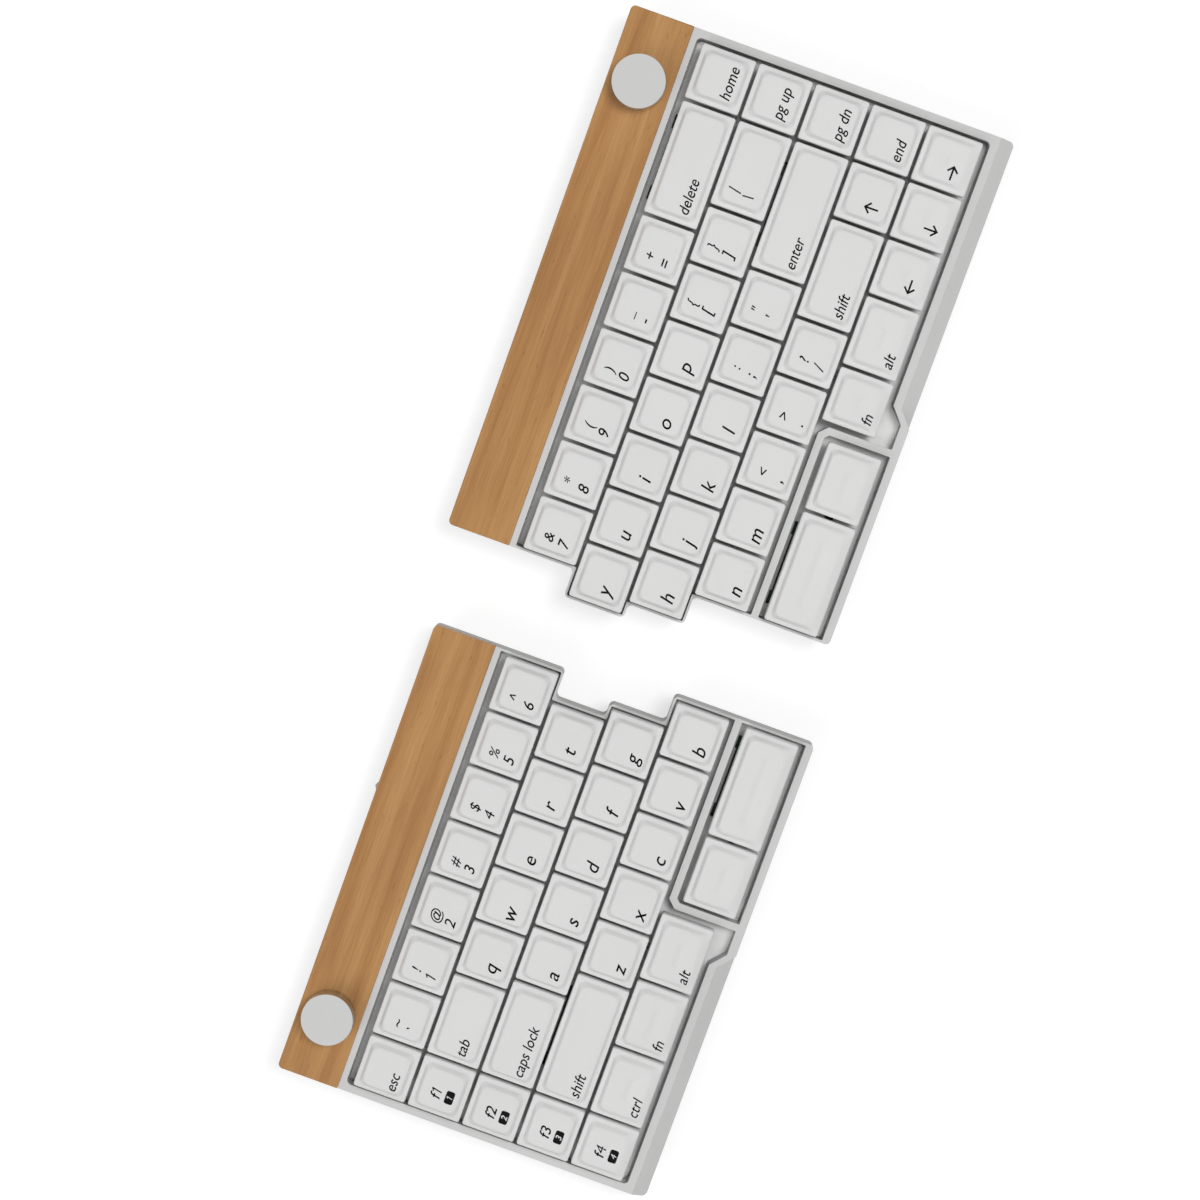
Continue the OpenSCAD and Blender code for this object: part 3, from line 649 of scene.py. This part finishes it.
# For each key node, the marks of each of its caps, from the left or from the back
LEGENDS = {
    "left_escape_key": [word("esc", 0)],
    "left_function_keys": [function_key(number) for number in (1, 2, 3, 4)],
    "left_number_keys": letters(("~`", "!1", "@2", "#3", "$4", "%5", "^6"), 0),
    "left_tab_key": [word("tab", 1)],
    "left_top_row_keys": letters("qwert", 1),
    "left_caps_lock_key": [word("caps lock", 2)],
    "left_home_row_keys": letters("asdfg", 2),
    "left_shift_key": [word("shift", 3)],
    "left_bottom_row_keys": letters("zxcvb", 3),
    "left_control_key": [word("ctrl", 4)],
    "left_command_key": [word("fn", 4)],
    "left_option_key": [word("alt", 4)],
    "left_small_thumb_key": [[]],
    "left_large_thumb_key": [[]],
    "right_number_keys": letters(("&7", "*8", "(9", ")0", "_-", "+="), 0),
    "right_delete_key": [word("delete", 0)],
    "right_home_key": [word("home", 0)],
    "right_top_row_keys": letters(("y", "u", "i", "o", "p", "{[", "}]"), 1),
    "right_backslash_key": letters(("|\\",), 1),
    "right_page_up_key": [word("pg up", 1)],
    "right_home_row_keys": letters(("h", "j", "k", "l", ":;", "\"'"), 2),
    "right_return_key": [word("enter", 2)],
    "right_page_down_key": [word("pg dn", 2)],
    "right_bottom_row_keys": letters(("n", "m", "<,", ">.", "?/"), 3),
    "right_shift_key": [word("shift", 3)],
    "right_up_key": [arrow_key(90, 3)],
    "right_end_key": [word("end", 3)],
    "right_large_thumb_key": [[]],
    "right_small_thumb_key": [[]],
    "right_command_key": [word("fn", 4)],
    "right_option_key": [word("alt", 4)],
    "right_arrow_left_key": [arrow_key(180, 4)],
    "right_arrow_down_key": [arrow_key(270, 4)],
    "right_arrow_right_key": [arrow_key(0, 4)],
}


# Key nodes

# Keys of the front row have one of these words in their names, and the last key of the column is
# in that row too
SMOOTH_KEYS = ("thumb", "control", "command", "option", "arrow")
COLUMN_KEYS = "left_function_keys"
CAP_SLOTS = ("keycap", "legend", "slider")
# Switch sliders under the caps: plan sizes, and drops from the cap's top to both ends
SLIDER = (7.0, 6.0)
SLIDER_DROPS = (10.7, 5.3)
# Plan size of one bar of a slider's cross post, and the drop from the cap's top to its end
POST = (4.0, 1.2)
POST_DROP = 1.65
# Caps longer than this have stabiliser sliders on both sides of the switch
LONG_CAP = 37.0
STABILISER = (5.0, 4.2)
STABILISER_X = 11.94


def add_box(form, x, plan, low, high):
    """An upright box of a slider, at a place along X."""
    size = Matrix.Diagonal((plan[0] * MM, plan[1] * MM, (high - low) * MM, 1))
    centre = Vector((x, 0, (low + high) / 2)) * MM
    made = bmesh.ops.create_cube(form, size=1, matrix=Matrix.Translation(centre) @ size)
    for face in {face for vertex in made["verts"] for face in vertex.link_faces}:
        face.material_index = CAP_SLOTS.index("slider")


def add_sliders(form, width, top):
    """The switch slider with its cross post and, under a long cap, two stabiliser sliders."""
    low, high = (top - drop for drop in SLIDER_DROPS)
    places = [(0, SLIDER)]
    if width > LONG_CAP:
        places += [(side * STABILISER_X, STABILISER) for side in (-1, 1)]
    for x, plan in places:
        add_box(form, x, plan, low, high)
        add_box(form, x, POST, high, top - POST_DROP)
        add_box(form, x, POST[::-1], high, top - POST_DROP)


def add_mark(form, surface, mark, width):
    """The faces of a mark laid onto the cap's surface."""
    lift = Vector((0, 0, INK_RISE * (1 + mark.layer) * MM))
    verts = []
    for x, y in mark.points:
        place = Vector(((x + mark.x - width / 2) * MM, (y + mark.y) * MM, INK_SKY * MM))
        hit = surface.ray_cast(place, Vector((0, 0, -1)))[0]
        verts.append(form.verts.new(hit + lift))
    for corners in mark.faces:
        face = form.faces.new([verts[i] for i in corners])
        face.normal_update()
        if face.normal.z < 0:
            face.normal_flip()
        face.material_index = CAP_SLOTS.index(mark.slot)


def key_caps(node, legends):
    """All caps of one key node, with legends and sliders, as one piece."""
    low, high = (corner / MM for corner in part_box(node))
    count = len(legends)
    in_column = node == COLUMN_KEYS
    length = high.y - low.y if in_column else high.x - low.x
    step = (length + CAP_GAP) / count
    width = high.x - low.x if in_column else step - CAP_GAP
    depth = step - CAP_GAP if in_column else high.y - low.y
    is_smooth = any(name in node for name in SMOOTH_KEYS)
    whole = bmesh.new()
    cap_mesh = bpy.data.meshes.new("cap")
    for number, marks in enumerate(legends):
        smooth_here = is_smooth or (in_column and number == count - 1)
        form = cap_form(width, depth, high.z - CAP_RISE, smooth_here)
        surface = BVHTree.FromBMesh(form)
        for mark in marks:
            add_mark(form, surface, mark, width)
        add_sliders(form, width, high.z)
        shift = (number + 0.5) * step - CAP_GAP / 2
        if in_column:
            centre = Vector((low.x + width / 2, high.y - shift, 0))
        else:
            centre = Vector((low.x + shift, (low.y + high.y) / 2, 0))
        bmesh.ops.translate(form, verts=form.verts, vec=centre * MM)
        form.to_mesh(cap_mesh)
        form.free()
        whole.from_mesh(cap_mesh)
    bpy.data.meshes.remove(cap_mesh)
    piece = mesh_object(f"{node}.caps", whole, [materials[slot] for slot in CAP_SLOTS])
    stand_for(piece, node)


for key_node, key_legends in LEGENDS.items():
    key_caps(key_node, key_legends)


# Knobs

KNOB_HEIGHT = 6.6
SHAFT_RADIUS = 2.25
# The hollow below a knob: its depth, and the rim's width at the hollow's ceiling and at the foot
HOLLOW_DEPTH = 0.4
RIM_WIDTHS = (1.6, 1.3)
# Points of the broken edges at the foot and at the top: insets from the side and heights from the
# end, which are drops at the top
FOOT_EDGE = [(0.3, 0), (0.09, 0.09), (0, 0.3)]
TOP_EDGE = [(0, 0.35), (0.05, 0.18), (0.17, 0.05), (0.35, 0)]
KNOB_STEPS = 128
# Edges with a sharper turn than this, in degrees, are shaded as edges
KNOB_SHARP = 50


def turned(profile):
    """A closed form around Z, from radii and heights that begin and end on the axis, as a bmesh."""
    form = bmesh.new()
    foot, top = (form.verts.new((0, 0, z * MM)) for _, z in (profile[0], profile[-1]))
    columns = []
    for step in range(KNOB_STEPS):
        turn = Matrix.Rotation(math.tau * step / KNOB_STEPS, 3, "Z")
        columns.append([form.verts.new(turn @ Vector((r, 0, z)) * MM) for r, z in profile[1:-1]])
    for here, there in zip(columns, columns[1:] + columns[:1]):
        form.faces.new((foot, there[0], here[0]))
        for i in range(len(here) - 1):
            form.faces.new((here[i], there[i], there[i + 1], here[i + 1]))
        form.faces.new((top, here[-1], there[-1]))
    for face in form.faces:
        face.smooth = True
    form.normal_update()
    for edge in form.edges:
        if edge.calc_face_angle() > math.radians(KNOB_SHARP):
            edge.smooth = False
    return form


def knob(node):
    """A turned knob with softly broken edges and its shaft."""
    low, high = (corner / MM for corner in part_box(node))
    radius = (high.x - low.x) / 2
    foot = high.z - KNOB_HEIGHT
    ceiling = foot + HOLLOW_DEPTH
    profile = [
        (0, low.z),
        (SHAFT_RADIUS, low.z),
        (SHAFT_RADIUS, ceiling),
        (radius - RIM_WIDTHS[0], ceiling),
        (radius - RIM_WIDTHS[1], foot),
        *((radius - inset, foot + rise) for inset, rise in FOOT_EDGE),
        *((radius - inset, high.z - drop) for inset, drop in TOP_EDGE),
        (0, high.z),
    ]
    form = turned(profile)
    bmesh.ops.translate(form, verts=form.verts, vec=Vector(axis_point(node)))
    piece = mesh_object(f"{node}.turned", form, [materials["knob"]])
    stand_for(piece, node)


for half in HALVES:
    knob(f"{half}_knob")


# CAD nodes that stay

# Slot of each kind of node, and the width of its softened edges
KEPT = {
    "bottom_tray": ("tray", 0.35),
    "top_frame": ("frame", 0.22),
    "wood_strip": ("wood", 0.3),
    "switch_plate": ("plate", 0.08),
    "circuit_board": ("board", 0.05),
    "switch_housings": ("housing", 0.15),
    "battery": ("battery", 0.8),
    "encoder": ("encoder", 0.15),
    "charging_port": ("port", 0.08),
    "rubber_feet": ("feet", 0.3),
    "case_screws": ("screw", 0.12),
    "mode_switch_body": ("port", 0.15),
    "mode_switch_lever": ("lever", 0.2),
}
NODE_WELD = 0.002
# Faces that turn less than the first angle become one, and edges sharper than the second are
# rounded, both in degrees
FLAT_ANGLE = 0.5
SHARP_ANGLE = 35
BEVEL_STEPS = 2


def soften(obj, width):
    """Welds a node's faces, joins flat ones and rounds its sharp edges, all by modifiers."""
    weld = obj.modifiers.new("weld", "WELD")
    weld.merge_threshold = NODE_WELD * MM
    flat = obj.modifiers.new("flat", "DECIMATE")
    flat.decimate_type = "DISSOLVE"
    flat.angle_limit = math.radians(FLAT_ANGLE)
    edge = obj.modifiers.new("edge", "BEVEL")
    edge.width = width * MM
    edge.segments = BEVEL_STEPS
    edge.limit_method = "ANGLE"
    edge.angle_limit = math.radians(SHARP_ANGLE)
    edge.use_clamp_overlap = True
    shade = obj.modifiers.new("shade", "WEIGHTED_NORMAL")
    shade.keep_sharp = False


for node_name, node_object in cad_nodes.items():
    # A node's name is its half and its kind
    kind = node_name.split("_", 1)[1]
    if kind in KEPT:
        slot_name, edge_width = KEPT[kind]
        node_object.data.materials.clear()
        node_object.data.materials.append(materials[slot_name])
        soften(node_object, edge_width)


# Studio, in metres

FLOOR_SIZE = 12.0
FLOOR_DROP = 0.05 * MM
FLOOR_COLOUR = (0.45, 0.45, 0.45)
FLOOR_SHADE = 0.01
# Length of the floor's faint tints, in millimetres as for all noise
FLOOR_TINT_LENGTH = 900
FLOOR_ROUGH = 0.9
FLOOR_SPECULAR = 0.1
# Strength of the floor's own light for rays that show it, which brings it close to white
FLOOR_LIFT = 0.66
WORLD_LIGHT = 0.24
# Name, place, size and power of each lamp. They stand on opposite sides, so that light from both
# reaches the caps and little of it the bottom of the gaps between them.
LAMPS = [
    ("key", (-2.0, 1.2, 2.6), 2.4, 37.5),
    ("top", (0.8, -0.62, 2.45), 1.0, 35.5),
]
# The lens is long, and the camera leans over the right half and is rolled as in the photograph, in
# degrees
CAMERA_PLACE = (0.0954, 0.0148, 0.9196)
CAMERA_TILT = 6.0
CAMERA_ROLL = -70.0
# Lens and sensor in millimetres, as cameras give them
CAMERA_LENS = 83.9
CAMERA_SENSOR = 36
CAMERA_SHIFT = (0.0027, -0.0025)
CAMERA_CLIP = (0.05, 50)


def background_rays(tree, seen, other):
    """One strength for rays that show the background, another for rays that light the object."""
    path = add_node(tree, "ShaderNodeLightPath").outputs
    shown = path["Is Camera Ray"]
    for kind in ("Is Glossy Ray", "Is Transmission Ray"):
        shown = add_node(
            tree, "ShaderNodeMath", {0: shown, 1: path[kind]}, operation="MAXIMUM"
        ).outputs[0]
    return add_node(
        tree, "ShaderNodeMapRange", {"Value": shown, "To Min": other, "To Max": seen}
    ).outputs["Result"]


def floor():
    """A plain pale floor that keeps the object's shadow."""
    material, tree, shader = new_material("floor_paper")
    tint = noise(tree, [FLOOR_TINT_LENGTH] * 3, detail=1)
    tone = two_tones(tree, tint, shaded(FLOOR_COLOUR, -FLOOR_SHADE), FLOOR_COLOUR)
    tree.links.new(tone, shader.inputs["Base Color"])
    shader.inputs["Roughness"].default_value = FLOOR_ROUGH
    shader.inputs["Specular IOR Level"].default_value = FLOOR_SPECULAR
    shader.inputs["Emission Color"].default_value = (*WHITE, 1)
    tree.links.new(background_rays(tree, FLOOR_LIFT, 0.0), shader.inputs["Emission Strength"])
    form = bmesh.new()
    bmesh.ops.create_grid(form, x_segments=1, y_segments=1, size=FLOOR_SIZE / 2)
    obj = mesh_object("floor", form, [material])
    obj.location.z = -FLOOR_DROP


def studio_world():
    """A white background with an even light from all around."""
    world = bpy.data.worlds.new("studio")
    world.use_nodes = True
    tree = world.node_tree
    sky = tree.nodes["Background"]
    sky.inputs["Color"].default_value = (*WHITE, 1)
    tree.links.new(background_rays(tree, 1.0, WORLD_LIGHT), sky.inputs["Strength"])
    bpy.context.scene.world = world


def lamp(name, place, size, power):
    """A square soft box that faces the middle of the object."""
    light = bpy.data.lights.new(name, "AREA")
    light.shape = "SQUARE"
    light.size = size
    light.energy = power
    obj = add_object(name, light)
    obj.location = place
    obj.rotation_mode = "QUATERNION"
    obj.rotation_quaternion = (-Vector(place)).to_track_quat("-Z", "Y")
    # Smooth metal mirrors the even sky and not the lamps
    obj.visible_glossy = False


def photo_camera():
    """The camera at the photograph's viewing angle."""
    data = bpy.data.cameras.new("photo_camera")
    data.lens = CAMERA_LENS
    data.sensor_width = CAMERA_SENSOR
    data.shift_x, data.shift_y = CAMERA_SHIFT
    data.clip_start, data.clip_end = CAMERA_CLIP
    back = Vector((math.tan(math.radians(CAMERA_TILT)), 0, 1)).normalized()
    roll = math.radians(CAMERA_ROLL)
    right = Vector((math.cos(roll), math.sin(roll), 0))
    right = (right - back * right.dot(back)).normalized()
    up = back.cross(right)
    turn = Matrix((right, up, back)).transposed().to_4x4()
    obj = add_object("photo_camera", data)
    obj.matrix_world = Matrix.Translation(CAMERA_PLACE) @ turn
    bpy.context.scene.camera = obj


floor()
studio_world()
for lamp_values in LAMPS:
    lamp(*lamp_values)
photo_camera()
bpy.context.scene.view_settings.view_transform = "Standard"
